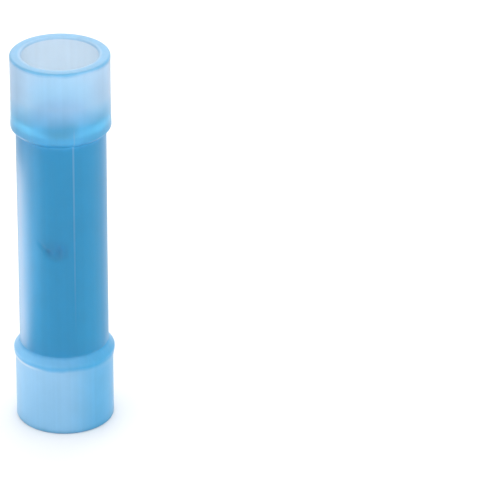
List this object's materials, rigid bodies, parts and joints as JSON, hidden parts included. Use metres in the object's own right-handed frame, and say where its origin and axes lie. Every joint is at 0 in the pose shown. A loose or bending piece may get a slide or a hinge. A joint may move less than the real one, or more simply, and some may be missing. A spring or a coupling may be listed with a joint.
{
  "type": "butt splice connector",
  "caption": "Nylon-insulated butt splice connector: a translucent blue sleeve with a belled mouth at each end over a tin-plated crimp barrel with a central wire stop.",
  "frame": {"origin": "centre of the lower mouth's rim, which the connector stands on", "axes": "+Z along the connector's axis, up towards the upper mouth; -Y towards the punched wire stop, +Y towards the barrel's seam"},
  "size_m": [0.0066, 0.0066, 0.0262],
  "materials": {
    "blue_nylon": "translucent blue nylon, smooth moulded finish",
    "tinned_copper": "electro-tinned copper, satin silver"
  },
  "bodies": {
    "root": {"insulating_sleeve": "blue_nylon", "crimp_barrel": "tinned_copper"}
  },
  "joints": []
}
